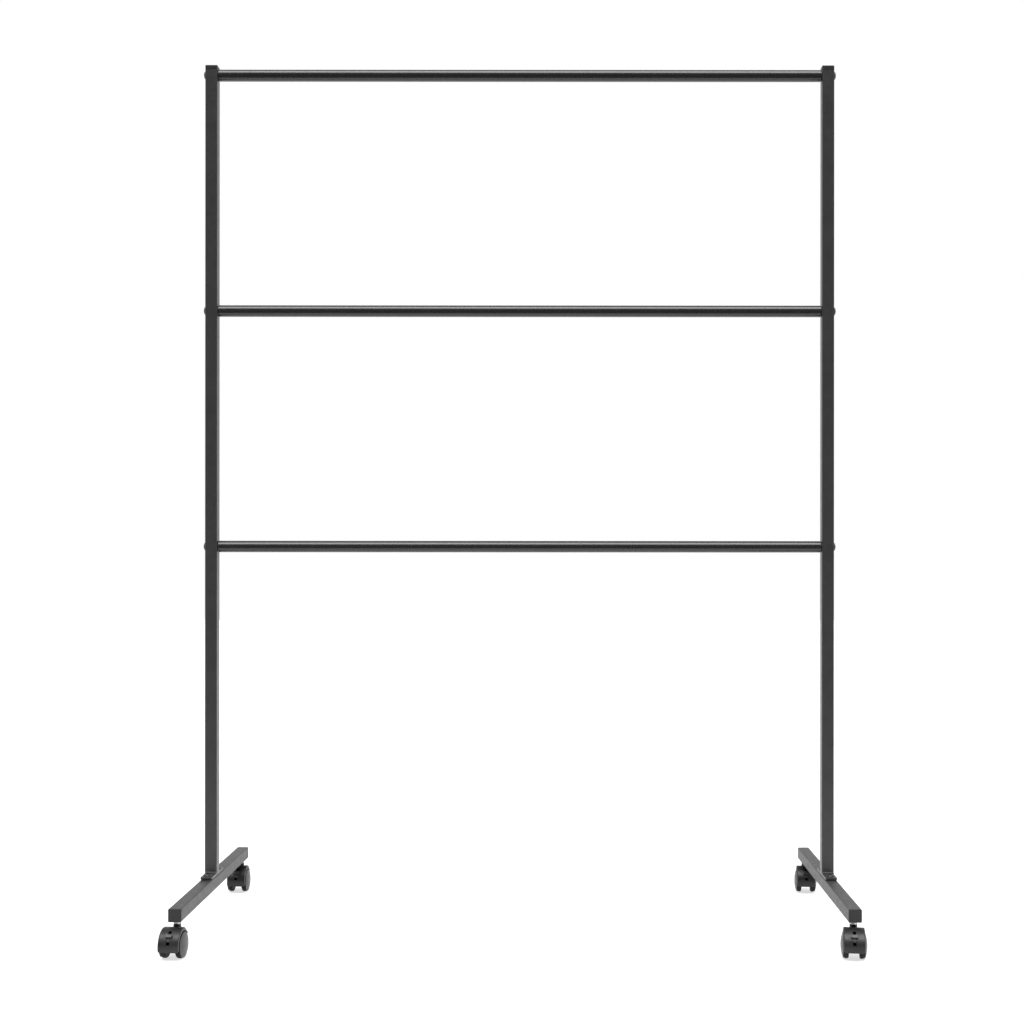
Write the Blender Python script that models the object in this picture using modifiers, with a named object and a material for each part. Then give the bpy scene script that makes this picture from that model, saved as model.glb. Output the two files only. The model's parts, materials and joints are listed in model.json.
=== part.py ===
"""Pegboard display stand on casters.

Two square-tube uprights stand on square-tube floor legs and are joined by three round
rails. Each leg rolls on two hooded twin-wheel casters with a brake lever.

Metres, +Z up. The stand faces -Y and +X is to its right. The origin is on the floor under
the middle of the stand's box, with all four casters trailing to the front.
"""
import math

import bmesh
import bpy
from mathutils import Matrix, Vector

# Driving dimensions of the frame
WIDTH = 1.300             # over the outer faces of the uprights
LEG_LENGTH = 0.600        # with the end plugs
LEG_BOTTOM = 0.066        # height of the legs' underside
TOP = 1.767               # top of the upright caps
TUBE = 0.025              # square tube, across the flats
TUBE_WALL = 0.0015
TUBE_CORNER = 0.002
RAIL_RADIUS = 0.012
RAIL_WALL = 0.0015
TOP_RAIL_Z = 1.7487
RAIL_SPACING = 0.48815
GAP = 0.0003              # clearance left between pieces that touch

# Plugs and caps in the tube ends
PLUG_HEAD = 0.003
PLUG_DEPTH = 0.009        # stub inside a leg, clear of the caster insert
CAP_HEAD = 0.0085
CAP_DEPTH = 0.005         # stub inside an upright, clear of the top rail's screw

# Screws
THREAD_RADIUS = 0.0039
THREAD_HOLE = 0.0043
CLEAR_HOLE = 0.0046
SCREW_FLANGE_RADIUS = 0.0089
SCREW_FLANGE = 0.0013
SCREW_HEAD = 0.0044
SCREW_HEAD_RADIUS = 0.0072
SCREW_CROWN_RADIUS = 0.0044
SOCKET_RADIUS = 0.0025
SOCKET_DEPTH = 0.0022

# Foot of an upright
FOOT_PLATE_LENGTH = 0.104
FOOT_PLATE = 0.006
FOOT_PLATE_WIDTH = 0.0244
FOOT_SCREW_Y = 0.039
FOOT_SCREW_LENGTH = 0.014
WELD = 0.004
NUT_STRIP = 0.004
NUT_STRIP_LENGTH = 0.096
NUT_STRIP_WIDTH = 0.020

# Threaded insert in a rail's end
INSERT_FLANGE = 0.002
INSERT_FLANGE_RADIUS = 0.0115
INSERT_DEPTH = 0.018

# Caster
STEM_INSET = 0.020        # stem axis to the leg's end
TRAIL = 0.020             # stem axis to axle
WHEEL_RADIUS = 0.025
WHEEL_INNER = 0.0101      # inner face, from the caster's middle
WHEEL_EDGE = 0.0202       # outer edge of the tread
WHEEL_SHOULDER = 0.0234
WHEEL_SHOULDER_RADIUS = 0.015
WHEEL_CROWN = 0.0248
WHEEL_BORE_END = 0.0215
AXLE_RADIUS = 0.003
AXLE_BORE = 0.0033
HOOD_RADIUS = 0.0322
HOOD_WALL = 0.0038
HOOD_WIDTH = 0.0415
HOOD_REAR_Z = 0.040       # where the hood ends on the stem's side
WEB_WIDTH = 0.0195
WEB_BOTTOM = 0.0165
COLLAR_RADIUS = 0.0073
COLLAR_TOP = 0.059
SPINDLE_RADIUS = 0.005
SPINDLE_BORE = 0.0053
SPINDLE_BOTTOM = 0.034
STEM_HEX = 0.013          # across the flats
STEM_HEX_LOW = 0.0594
RIVET_FLANGE = 0.001
RIVET_FLANGE_RADIUS = 0.0075
RIVET_RADIUS = 0.0056
RIVET_DEPTH = 0.016

# Brake lever, rocking in a slot of the hood; angles are above the level, on the trailing side
SLOT_WIDTH = 0.0064
SLOT_LOW = math.radians(10.5)
SLOT_HIGH = math.radians(61.5)
SLOT_FLOOR_RADIUS = 0.013
LEVER_LOW = math.radians(21.0)
LEVER_HIGH = math.radians(49.5)
LEVER_NECK = 0.0056
LEVER_INNER_RADIUS = 0.019
LEVER_OUTER_RADIUS = 0.0324
LEVER_TOE_RADIUS = 0.0155
LEVER_TOE_THICK = 0.005
LEVER_TAB_ANGLE = math.radians(42.0)
LEVER_TAB_WIDTH = 0.0135
LEVER_TAB_HEIGHT = 0.0075
LEVER_TAB_RADIUS = 0.0329
LEVER_TAB_THICK = 0.0038
PIVOT_ANGLE = (LEVER_LOW + LEVER_HIGH) / 2
PIVOT_PLACE_RADIUS = 0.024
PIVOT_RADIUS = 0.0015
PIVOT_LENGTH = 0.0130

# Places that follow from the driving dimensions
UPRIGHT_X = (WIDTH - TUBE) / 2
TRAIL_OVERHANG = TRAIL + HOOD_RADIUS - STEM_INSET
FRAME_Y = TRAIL_OVERHANG / 2   # the uprights' plane
LEG_TOP = LEG_BOTTOM + TUBE
LEG_TUBE_LENGTH = LEG_LENGTH - 2 * (PLUG_HEAD + GAP)
PLATE_LOW = LEG_TOP + GAP
PLATE_TOP = PLATE_LOW + FOOT_PLATE
RAIL_HEIGHTS = {
    "top": TOP_RAIL_Z,
    "middle": TOP_RAIL_Z - RAIL_SPACING,
    "bottom": TOP_RAIL_Z - 2 * RAIL_SPACING,
}
SIDES = {"left": -1, "right": 1}
ENDS = {"front": -1, "rear": 1}
SWIVEL = {
    ("front", "left"): math.radians(-5.5),
    ("front", "right"): math.radians(-8.0),
    ("rear", "left"): math.radians(-1.0),
    ("rear", "right"): math.radians(-5.0),
}

ROUND_STEPS = 24
SCREW_STEPS = 12


def clear_scene():
    """Remove every object that the scene starts with."""
    for old in list(bpy.data.objects):
        bpy.data.objects.remove(old, do_unlink=True)


def make_material(name, color, metallic, roughness):
    """A Principled material for one kind of finish."""
    material = bpy.data.materials.new(name)
    material.use_nodes = True
    shader = material.node_tree.nodes["Principled BSDF"]
    shader.inputs["Base Color"].default_value = (*color, 1.0)
    shader.inputs["Metallic"].default_value = metallic
    shader.inputs["Roughness"].default_value = roughness
    material.diffuse_color = (*color, 1.0)
    return material


def link(name, mesh):
    """Put a mesh in the scene as an object."""
    piece = bpy.data.objects.new(name, mesh)
    bpy.context.scene.collection.objects.link(piece)
    return piece


def mesh_object(name, shape):
    """Turn a bmesh into an object."""
    mesh = bpy.data.meshes.new(name)
    shape.to_mesh(mesh)
    shape.free()
    return link(name, mesh)


def block(name, low, high, bevel_axis=None, bevel=0.0, segments=2):
    """A box between two corners, with the edges along one axis rounded if asked."""
    low = Vector(low)
    high = Vector(high)
    shape = bmesh.new()
    place = Matrix.Translation((low + high) / 2) @ Matrix.Diagonal((*(high - low), 1.0))
    bmesh.ops.create_cube(shape, size=1.0, matrix=place)
    if bevel_axis is not None:
        edges = [e for e in shape.edges
                 if abs(e.verts[0].co[bevel_axis] - e.verts[1].co[bevel_axis]) > 1e-6]
        bmesh.ops.bevel(shape, geom=edges, offset=bevel, segments=segments, profile=0.5,
                        affect="EDGES")
    return mesh_object(name, shape)


def rod(name, radius, start, end, steps=SCREW_STEPS):
    """A solid cylinder from one point to another."""
    start = Vector(start)
    end = Vector(end)
    turn = (end - start).to_track_quat("Z", "Y").to_matrix().to_4x4()
    shape = bmesh.new()
    bmesh.ops.create_cone(shape, cap_ends=True, segments=steps, radius1=radius, radius2=radius,
                          depth=(end - start).length,
                          matrix=Matrix.Translation((start + end) / 2) @ turn)
    return mesh_object(name, shape)


def baked(piece):
    """Replace a piece's mesh by the result of its modifiers."""
    bpy.context.view_layer.update()
    graph = bpy.context.evaluated_depsgraph_get()
    piece.data = bpy.data.meshes.new_from_object(piece.evaluated_get(graph), depsgraph=graph)
    piece.modifiers.clear()
    return piece


def boolean(piece, tool, operation):
    """Join or cut a piece with a tool, and drop the tool."""
    step = piece.modifiers.new(operation.lower(), "BOOLEAN")
    step.operation = operation
    step.object = tool
    step.solver = "EXACT"
    baked(piece)
    bpy.data.objects.remove(tool, do_unlink=True)
    return piece


def cut(piece, tool):
    """Take a tool's volume away from a piece."""
    return boolean(piece, tool, "DIFFERENCE")


def join(piece, tool):
    """Add a tool's volume to a piece."""
    return boolean(piece, tool, "UNION")


def turned(name, profile, axis, place, steps=SCREW_STEPS, closed=False):
    """A turned piece: profile points are (radius, height), running down the outer side.

    Height is measured from place along axis.
    """
    shape = bmesh.new()
    points = [shape.verts.new((radius, 0.0, height)) for radius, height in profile]
    for first, second in zip(points, points[1:]):
        shape.edges.new((first, second))
    if closed:
        shape.edges.new((points[-1], points[0]))
    piece = mesh_object(name, shape)
    spin = piece.modifiers.new("spin", "SCREW")
    spin.angle = math.tau
    spin.steps = steps
    spin.render_steps = steps
    spin.use_merge_vertices = True
    spin.merge_threshold = 0.00001
    spin.use_smooth_shade = False
    baked(piece)
    turn = Vector(axis).to_track_quat("Z", "Y").to_matrix().to_4x4()
    piece.data.transform(Matrix.Translation(place) @ turn)
    return piece


def finish(piece, material, collection, origin=(0, 0, 0)):
    """Give a piece its material, shading, collection and origin."""
    mesh = piece.data
    mesh.transform(Matrix.Translation(-Vector(origin)))
    mesh.materials.clear()
    mesh.materials.append(material)
    mesh.shade_smooth()
    mesh.set_sharp_from_angle(angle=math.radians(35))
    piece.location = origin
    for owner in list(piece.users_collection):
        owner.objects.unlink(piece)
    collection.objects.link(piece)
    return piece


def screw_profile(length):
    """A flanged button-head screw; height 0 is the face that it clamps."""
    crown = GAP + SCREW_HEAD
    return [
        (0, crown - SOCKET_DEPTH),
        (SOCKET_RADIUS, crown - SOCKET_DEPTH),
        (SOCKET_RADIUS, crown),
        (SCREW_CROWN_RADIUS, crown),
        (SCREW_HEAD_RADIUS, GAP + SCREW_FLANGE + 0.0008),
        (SCREW_FLANGE_RADIUS, GAP + SCREW_FLANGE),
        (SCREW_FLANGE_RADIUS, GAP),
        (THREAD_RADIUS, GAP),
        (THREAD_RADIUS, -length),
        (0, -length),
    ]


def make_upright(side):
    """A square tube welded to its foot plate, drilled for the rail and foot screws."""
    x = SIDES[side] * UPRIGHT_X
    half = TUBE / 2
    inner = half - TUBE_WALL
    tube_top = TOP - CAP_HEAD - GAP
    piece = block("tube", (x - half, FRAME_Y - half, PLATE_TOP - GAP),
                  (x + half, FRAME_Y + half, tube_top), 2, TUBE_CORNER)
    plate_x = FOOT_PLATE_WIDTH / 2
    plate_y = FOOT_PLATE_LENGTH / 2
    join(piece, block("plate", (x - plate_x, FRAME_Y - plate_y, PLATE_LOW),
                      (x + plate_x, FRAME_Y + plate_y, PLATE_TOP), 2, TUBE_CORNER))
    join(piece, weld_bead(x))
    cut(piece, block("hollow", (x - inner, FRAME_Y - inner, PLATE_TOP + GAP),
                     (x + inner, FRAME_Y + inner, TOP)))
    for height in RAIL_HEIGHTS.values():
        cut(piece, rod("hole", CLEAR_HOLE, (x - TUBE, FRAME_Y, height), (x + TUBE, FRAME_Y, height)))
    for end in ENDS.values():
        y = FRAME_Y + end * FOOT_SCREW_Y
        cut(piece, rod("hole", CLEAR_HOLE, (x, y, LEG_TOP - TUBE / 4), (x, y, PLATE_TOP + TUBE / 4)))
    return piece


def weld_bead(x):
    """The sloping fillet welds in front of and behind the tube's foot."""
    shape = bmesh.new()
    depth = TUBE + 2 * WELD
    place = Matrix.Translation((x, FRAME_Y, PLATE_TOP + WELD / 2 - GAP))
    bmesh.ops.create_cube(shape, size=1.0,
                          matrix=place @ Matrix.Diagonal((TUBE - 0.003, depth, WELD + GAP, 1.0)))
    top = [v for v in shape.verts if v.co.z > PLATE_TOP + WELD / 2]
    for vert in top:
        vert.co.y = FRAME_Y + (vert.co.y - FRAME_Y) * (TUBE - 2 * GAP) / depth
    return mesh_object("weld", shape)


def make_plug(name, centre, outward, head, depth):
    """A moulded plug: a square head flush with the tube and a stub inside it."""
    half = TUBE / 2
    stub = half - TUBE_WALL - GAP
    axis = max(range(3), key=lambda i: abs(outward[i]))
    sign = outward[axis]
    low = [c - half for c in centre]
    high = [c + half for c in centre]
    low[axis], high[axis] = sorted((centre[axis], centre[axis] - sign * head))
    piece = block(name, low, high, axis, TUBE_CORNER)
    low = [c - stub for c in centre]
    high = [c + stub for c in centre]
    reach = centre[axis] - sign * (head + depth)
    low[axis], high[axis] = sorted((centre[axis] - sign * head / 2, reach))
    return join(piece, block("stub", low, high))


def make_rail(name, height):
    """A round tube between the two uprights' inserts."""
    reach = WIDTH / 2 - TUBE - INSERT_FLANGE - 2 * GAP
    bore = RAIL_RADIUS - RAIL_WALL
    profile = [(bore, reach), (RAIL_RADIUS, reach), (RAIL_RADIUS, -reach), (bore, -reach)]
    return turned(name, profile, (1, 0, 0), (0, FRAME_Y, height), ROUND_STEPS, closed=True)


def make_rail_insert(name, side, height):
    """A threaded insert: its flange seats between the rail's end and the upright."""
    sign = SIDES[side]
    body = RAIL_RADIUS - RAIL_WALL - GAP
    profile = [
        (THREAD_HOLE, 0),
        (INSERT_FLANGE_RADIUS, 0),
        (INSERT_FLANGE_RADIUS, -INSERT_FLANGE),
        (body, -INSERT_FLANGE),
        (body, -INSERT_FLANGE - INSERT_DEPTH),
        (THREAD_HOLE, -INSERT_FLANGE - INSERT_DEPTH),
    ]
    place = (sign * (WIDTH / 2 - TUBE - GAP), FRAME_Y, height)
    return turned(name, profile, (sign, 0, 0), place, closed=True)


def make_rail_screw(name, side, height):
    """The screw that goes through the upright into the rail's insert."""
    sign = SIDES[side]
    length = TUBE + INSERT_FLANGE + INSERT_DEPTH - 0.002
    return turned(name, screw_profile(length), (sign, 0, 0),
                  (sign * WIDTH / 2, FRAME_Y, height))


def make_leg(side):
    """A square floor tube with holes for the foot screws and the caster inserts."""
    x = SIDES[side] * UPRIGHT_X
    half = TUBE / 2
    inner = half - TUBE_WALL
    reach = LEG_TUBE_LENGTH / 2
    middle = LEG_BOTTOM + half
    piece = block("tube", (x - half, FRAME_Y - reach, LEG_BOTTOM),
                  (x + half, FRAME_Y + reach, LEG_TOP), 1, TUBE_CORNER)
    cut(piece, block("hollow", (x - inner, FRAME_Y - LEG_LENGTH, middle - inner),
                     (x + inner, FRAME_Y + LEG_LENGTH, middle + inner)))
    for end in ENDS.values():
        y = FRAME_Y + end * FOOT_SCREW_Y
        cut(piece, rod("hole", CLEAR_HOLE, (x, y, middle), (x, y, LEG_TOP + half)))
        y = FRAME_Y + end * (LEG_LENGTH / 2 - STEM_INSET)
        cut(piece, rod("hole", RIVET_RADIUS + GAP, (x, y, LEG_BOTTOM - half), (x, y, middle)))
    return piece


def make_nut_strip(name, side):
    """The tapped flat bar inside a leg that the foot screws pull against."""
    x = SIDES[side] * UPRIGHT_X
    top = LEG_TOP - TUBE_WALL - GAP
    half = NUT_STRIP_LENGTH / 2
    piece = block(name, (x - NUT_STRIP_WIDTH / 2, FRAME_Y - half, top - NUT_STRIP),
                  (x + NUT_STRIP_WIDTH / 2, FRAME_Y + half, top))
    for end in ENDS.values():
        y = FRAME_Y + end * FOOT_SCREW_Y
        cut(piece, rod("hole", THREAD_HOLE, (x, y, LEG_BOTTOM), (x, y, LEG_TOP)))
    return piece


def make_rivet_nut(name, x, y):
    """The threaded rivet nut in a leg's underside that holds a caster stem."""
    face = LEG_BOTTOM - GAP
    profile = [
        (THREAD_HOLE, RIVET_DEPTH),
        (RIVET_RADIUS, RIVET_DEPTH),
        (RIVET_RADIUS, 0),
        (RIVET_FLANGE_RADIUS, 0),
        (RIVET_FLANGE_RADIUS, -RIVET_FLANGE),
        (THREAD_HOLE, -RIVET_FLANGE),
    ]
    return turned(name, profile, (0, 0, 1), (x, y, face), closed=True)


def make_stem(name, x, y):
    """A caster stem: threaded shank above a hexagon, plain spindle below it."""
    hex_top = LEG_BOTTOM - RIVET_FLANGE - 3 * GAP
    shank_top = LEG_BOTTOM + RIVET_DEPTH - 2 * GAP
    profile = [
        (0, shank_top),
        (THREAD_RADIUS, shank_top),
        (THREAD_RADIUS, STEM_HEX_LOW + 0.001),
        (SPINDLE_RADIUS, STEM_HEX_LOW + 0.001),
        (SPINDLE_RADIUS, SPINDLE_BOTTOM),
        (0, SPINDLE_BOTTOM),
    ]
    piece = turned(name, profile, (0, 0, 1), (x, y, 0))
    corner = STEM_HEX / 2 / math.cos(math.pi / 6)
    return join(piece, rod("hexagon", corner, (x, y, STEM_HEX_LOW), (x, y, hex_top), 6))


def polar(radius, angle):
    """A point of a caster's side view: angle above the level, on the trailing side."""
    return (-TRAIL - radius * math.cos(angle), WHEEL_RADIUS + radius * math.sin(angle))


def wedge(name, width, inner, outer, low, high, steps=8):
    """A curved block about the axle, between two radii and two angles."""
    shape = bmesh.new()
    arc = [low + (high - low) * i / steps for i in range(steps + 1)]
    rim = [polar(inner, a) for a in arc] + [polar(outer, a) for a in reversed(arc)]
    face = shape.faces.new([shape.verts.new((-width / 2, y, z)) for y, z in rim])
    grown = bmesh.ops.extrude_face_region(shape, geom=[face])
    moved = [v for v in grown["geom"] if isinstance(v, bmesh.types.BMVert)]
    bmesh.ops.translate(shape, verts=moved, vec=(width, 0, 0))
    bmesh.ops.recalc_face_normals(shape, faces=shape.faces)
    return mesh_object(name, shape)


def make_caster_body():
    """The moulded body: web, hood over both wheels, stem collar and lever slot."""
    half = HOOD_WIDTH / 2
    axle = (-TRAIL, WHEEL_RADIUS)
    piece = rod("body", HOOD_RADIUS, (-half, *axle), (half, *axle), 32)
    join(piece, rod("collar", COLLAR_RADIUS, (0, 0, WHEEL_RADIUS), (0, 0, COLLAR_TOP), 16))
    for sign in SIDES.values():
        pocket = sorted((sign * WEB_WIDTH / 2, sign * HOOD_WIDTH))
        cut(piece, rod("pocket", HOOD_RADIUS - HOOD_WALL, (pocket[0], *axle), (pocket[1], *axle),
                       32))
        cut(piece, block("rear", (pocket[0], -TRAIL, -HOOD_RADIUS),
                         (pocket[1], HOOD_RADIUS, HOOD_REAR_Z)))
    cut(piece, block("underside", (-HOOD_WIDTH, -3 * HOOD_RADIUS, -HOOD_RADIUS),
                     (HOOD_WIDTH, 3 * HOOD_RADIUS, WEB_BOTTOM)))
    cut(piece, rod("socket", SPINDLE_BORE, (0, 0, SPINDLE_BOTTOM - GAP), (0, 0, 2 * COLLAR_TOP)))
    cut(piece, rod("axle_hole", AXLE_BORE, (-HOOD_WIDTH, *axle), (HOOD_WIDTH, *axle)))
    cut(piece, wedge("slot", SLOT_WIDTH, SLOT_FLOOR_RADIUS, 2 * HOOD_RADIUS, SLOT_LOW, SLOT_HIGH))
    pivot = polar(PIVOT_PLACE_RADIUS, PIVOT_ANGLE)
    reach = PIVOT_LENGTH / 2 + GAP
    return cut(piece, rod("pivot_hole", PIVOT_RADIUS + GAP, (-reach, *pivot), (reach, *pivot)))


def make_wheel(sign):
    """A wheel with a blind bore and a crowned outer face."""
    profile = [
        (0, WHEEL_CROWN),
        (WHEEL_SHOULDER_RADIUS, WHEEL_SHOULDER),
        (WHEEL_RADIUS, WHEEL_EDGE),
        (WHEEL_RADIUS, WHEEL_INNER),
        (AXLE_BORE, WHEEL_INNER),
        (AXLE_BORE, WHEEL_BORE_END),
        (0, WHEEL_BORE_END),
    ]
    return turned("wheel", profile, (sign, 0, 0), (0, -TRAIL, WHEEL_RADIUS), ROUND_STEPS)


def make_axle():
    """The steel pin through the web and both wheels."""
    half = WHEEL_BORE_END - GAP
    axle = (-TRAIL, WHEEL_RADIUS)
    return rod("axle", AXLE_RADIUS, (-half, *axle), (half, *axle))


def radial_block(name, width, height, inner, outer, angle, bevel=0.0):
    """A straight block pointing away from the axle at an angle above the level."""
    sides = None if bevel == 0.0 else 2
    piece = block(name, (-width / 2, -height / 2, inner), (width / 2, height / 2, outer), sides, bevel)
    lean = Matrix.Rotation(math.pi / 2 - angle, 4, "X")
    piece.data.transform(Matrix.Translation((0, -TRAIL, WHEEL_RADIUS)) @ lean)
    return piece


def make_brake_lever():
    """The rocking brake lever: curved rocker, inner toe, outer tab and pivot."""
    piece = wedge("lever", LEVER_NECK, LEVER_INNER_RADIUS, LEVER_OUTER_RADIUS, LEVER_LOW, LEVER_HIGH)
    join(piece, radial_block("toe", LEVER_NECK - GAP, LEVER_TOE_THICK, LEVER_TOE_RADIUS,
                             LEVER_INNER_RADIUS + LEVER_TOE_THICK, PIVOT_ANGLE))
    join(piece, radial_block("stalk", LEVER_NECK - GAP, LEVER_TAB_HEIGHT - 2 * GAP,
                             LEVER_OUTER_RADIUS - LEVER_TAB_THICK, LEVER_TAB_RADIUS + GAP,
                             LEVER_TAB_ANGLE))
    join(piece, radial_block("tab", LEVER_TAB_WIDTH, LEVER_TAB_HEIGHT, LEVER_TAB_RADIUS,
                             LEVER_TAB_RADIUS + LEVER_TAB_THICK, LEVER_TAB_ANGLE, 0.0015))
    pivot = polar(PIVOT_PLACE_RADIUS, PIVOT_ANGLE)
    reach = PIVOT_LENGTH / 2
    return join(piece, rod("pivot", PIVOT_RADIUS, (-reach, *pivot), (reach, *pivot)))


def place_caster(end, side, masters, collection):
    """Four moving pieces and the axle under one empty on the swivel axis."""
    name = f"{end}_{side}"
    x = SIDES[side] * UPRIGHT_X
    y = FRAME_Y + ENDS[end] * (LEG_LENGTH / 2 - STEM_INSET)
    swivel = bpy.data.objects.new(f"{name}_swivel", None)
    swivel.location = (x, y, 0)
    swivel.rotation_euler.z = SWIVEL[end, side]
    swivel.empty_display_size = TUBE
    collection.objects.link(swivel)
    for label, master in masters.items():
        copy = bpy.data.objects.new(f"{name}_{label}", master.data)
        copy.location = master.location
        copy.parent = swivel
        collection.objects.link(copy)


def build():
    """Make every piece of the stand."""
    clear_scene()
    stand = bpy.data.collections.new("pegboard_display_stand")
    bpy.context.scene.collection.children.link(stand)
    powder = make_material("black_powder_coat", (0.024, 0.024, 0.026), 0.0, 0.42)
    screw_black = make_material("black_screw", (0.02, 0.02, 0.02), 0.9, 0.35)
    plastic = make_material("black_plastic", (0.022, 0.022, 0.023), 0.0, 0.5)
    zinc = make_material("zinc_steel", (0.62, 0.63, 0.65), 1.0, 0.3)
    wheel_black = make_material("wheel_plastic", (0.035, 0.035, 0.037), 0.0, 0.45)

    for side, sign in SIDES.items():
        x = sign * UPRIGHT_X
        upright = make_upright(side)
        upright.name = f"{side}_upright"
        finish(upright, powder, stand, (x, FRAME_Y, PLATE_LOW))
        cap = make_plug(f"{side}_upright_cap", (x, FRAME_Y, TOP), (0, 0, 1), CAP_HEAD,
                        CAP_DEPTH)
        finish(cap, plastic, stand, (x, FRAME_Y, TOP))
        leg = make_leg(side)
        leg.name = f"{side}_leg"
        finish(leg, powder, stand, (x, FRAME_Y, LEG_BOTTOM))
        strip = make_nut_strip(f"{side}_nut_strip", side)
        finish(strip, zinc, stand, (x, FRAME_Y, LEG_TOP))
        for end, way in ENDS.items():
            plug_y = FRAME_Y + way * LEG_LENGTH / 2
            plug = make_plug(f"{side}_leg_{end}_plug", (x, plug_y, LEG_BOTTOM + TUBE / 2),
                             (0, way, 0), PLUG_HEAD, PLUG_DEPTH)
            finish(plug, plastic, stand, (x, plug_y, LEG_BOTTOM))
            screw_y = FRAME_Y + way * FOOT_SCREW_Y
            screw = turned(f"{side}_foot_{end}_screw", screw_profile(FOOT_SCREW_LENGTH), (0, 0, 1),
                           (x, screw_y, PLATE_TOP))
            finish(screw, screw_black, stand, (x, screw_y, PLATE_TOP))
            stem_y = FRAME_Y + way * (LEG_LENGTH / 2 - STEM_INSET)
            nut = make_rivet_nut(f"{end}_{side}_rivet_nut", x, stem_y)
            finish(nut, zinc, stand, (x, stem_y, LEG_BOTTOM))
            stem = make_stem(f"{end}_{side}_stem", x, stem_y)
            finish(stem, zinc, stand, (x, stem_y, LEG_BOTTOM))

    for level, height in RAIL_HEIGHTS.items():
        rail = make_rail(f"{level}_rail", height)
        finish(rail, powder, stand, (0, FRAME_Y, height))
        for side, sign in SIDES.items():
            insert = make_rail_insert(f"{level}_rail_{side}_insert", side, height)
            finish(insert, plastic, stand, (sign * WIDTH / 2, FRAME_Y, height))
            screw = make_rail_screw(f"{level}_rail_{side}_screw", side, height)
            finish(screw, screw_black, stand, (sign * WIDTH / 2, FRAME_Y, height))

    axle_place = (0, -TRAIL, WHEEL_RADIUS)
    pivot_place = (0, *polar(PIVOT_PLACE_RADIUS, PIVOT_ANGLE))
    masters = {
        "caster_body": finish(make_caster_body(), plastic, stand),
        "axle": finish(make_axle(), zinc, stand, axle_place),
        "left_wheel": finish(make_wheel(-1), wheel_black, stand, axle_place),
        "right_wheel": finish(make_wheel(1), wheel_black, stand, axle_place),
        "brake_lever": finish(make_brake_lever(), plastic, stand, pivot_place),
    }
    for end in ENDS:
        for side in SIDES:
            place_caster(end, side, masters, stand)
    for master in masters.values():
        bpy.data.objects.remove(master, do_unlink=True)


build()
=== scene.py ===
import json
import math

import bmesh
import bpy
from mathutils import Matrix, Vector


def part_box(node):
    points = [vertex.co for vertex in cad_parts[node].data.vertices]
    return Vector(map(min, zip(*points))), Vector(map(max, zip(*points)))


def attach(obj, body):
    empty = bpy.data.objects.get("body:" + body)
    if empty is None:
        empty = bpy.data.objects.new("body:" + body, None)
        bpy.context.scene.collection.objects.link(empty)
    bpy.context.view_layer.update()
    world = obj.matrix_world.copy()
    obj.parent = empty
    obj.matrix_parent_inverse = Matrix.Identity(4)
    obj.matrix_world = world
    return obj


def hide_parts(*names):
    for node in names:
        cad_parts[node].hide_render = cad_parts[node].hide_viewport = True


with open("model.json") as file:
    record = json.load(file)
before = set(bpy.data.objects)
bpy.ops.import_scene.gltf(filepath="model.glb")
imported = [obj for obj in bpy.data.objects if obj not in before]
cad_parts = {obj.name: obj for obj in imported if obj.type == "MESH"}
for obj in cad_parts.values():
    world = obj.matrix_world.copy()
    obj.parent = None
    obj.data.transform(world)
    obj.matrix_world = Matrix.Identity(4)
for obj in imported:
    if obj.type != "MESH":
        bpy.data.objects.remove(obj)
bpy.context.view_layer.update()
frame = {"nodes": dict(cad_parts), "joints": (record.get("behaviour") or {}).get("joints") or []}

# ------------------------------------------------------------------ studio and camera
# A white studio: a pale floor that glows a little, a pale backdrop that fades with height, one
# wide soft panel high up in front and a dim room below it. The black tubes then show a bright
# upper line and a dark middle.
RAIL_LOW, RAIL_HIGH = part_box("top_rail")
FRAME_Y = (RAIL_LOW[1] + RAIL_HIGH[1]) / 2
CAMERA_DISTANCE = 3.09
CAMERA_SIDE = 0.085
CAMERA_HEIGHT = 0.749
CAMERA_LENS = 52.38
CAMERA_SHIFT = (-0.0475, 0.0449)
CAMERA_ROLL = -0.0007
FLOOR_SIZE = 16.0
FLOOR_FRONT = 1.1            # how far the floor comes out in front of the uprights
FLOOR_WHITE = 0.5
FLOOR_GLOW = 0.62
FLOOR_ROUGH = 0.7
FLOOR_GLOSS = 0.2
FRONT_LIGHT = 0.2
BACKDROP_LIGHT = 1.0
BACKDROP_START = (-0.75, -0.05)    # between which ways, front to back, it grows to full
BACKDROP_TOP = 0.6           # how much of it is left high up
BACKDROP_FADE = (0.3, 0.8)   # between which heights it fades
PANEL_LIGHT = 7.5
PANEL_WAY = (0, -0.42, 0.906)
PANEL_SQUASH = (0.5, 1, 1)   # makes the panel twice as wide from side to side as it is deep
PANEL_EDGE = (0.9, 0.995)    # the soft edge, as cosines of the angle from the panel's middle


def add_node(tree, kind, inputs=None, **settings):
    """A node with its settings, and its inputs given as values or as sockets to link."""
    made = tree.nodes.new(kind)
    for name, value in settings.items():
        setattr(made, name, value)
    for name, value in (inputs or {}).items():
        if isinstance(value, bpy.types.NodeSocket):
            tree.links.new(value, made.inputs[name])
        else:
            made.inputs[name].default_value = value
    return made


def ramp(tree, value, low, high, to_low, to_high):
    """A smooth step of a value from one level to another."""
    step = add_node(tree, "ShaderNodeMapRange", {"Value": value, "From Min": low,
                    "From Max": high, "To Min": to_low, "To Max": to_high},
                    interpolation_type="SMOOTHSTEP")
    return step.outputs["Result"]


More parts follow.
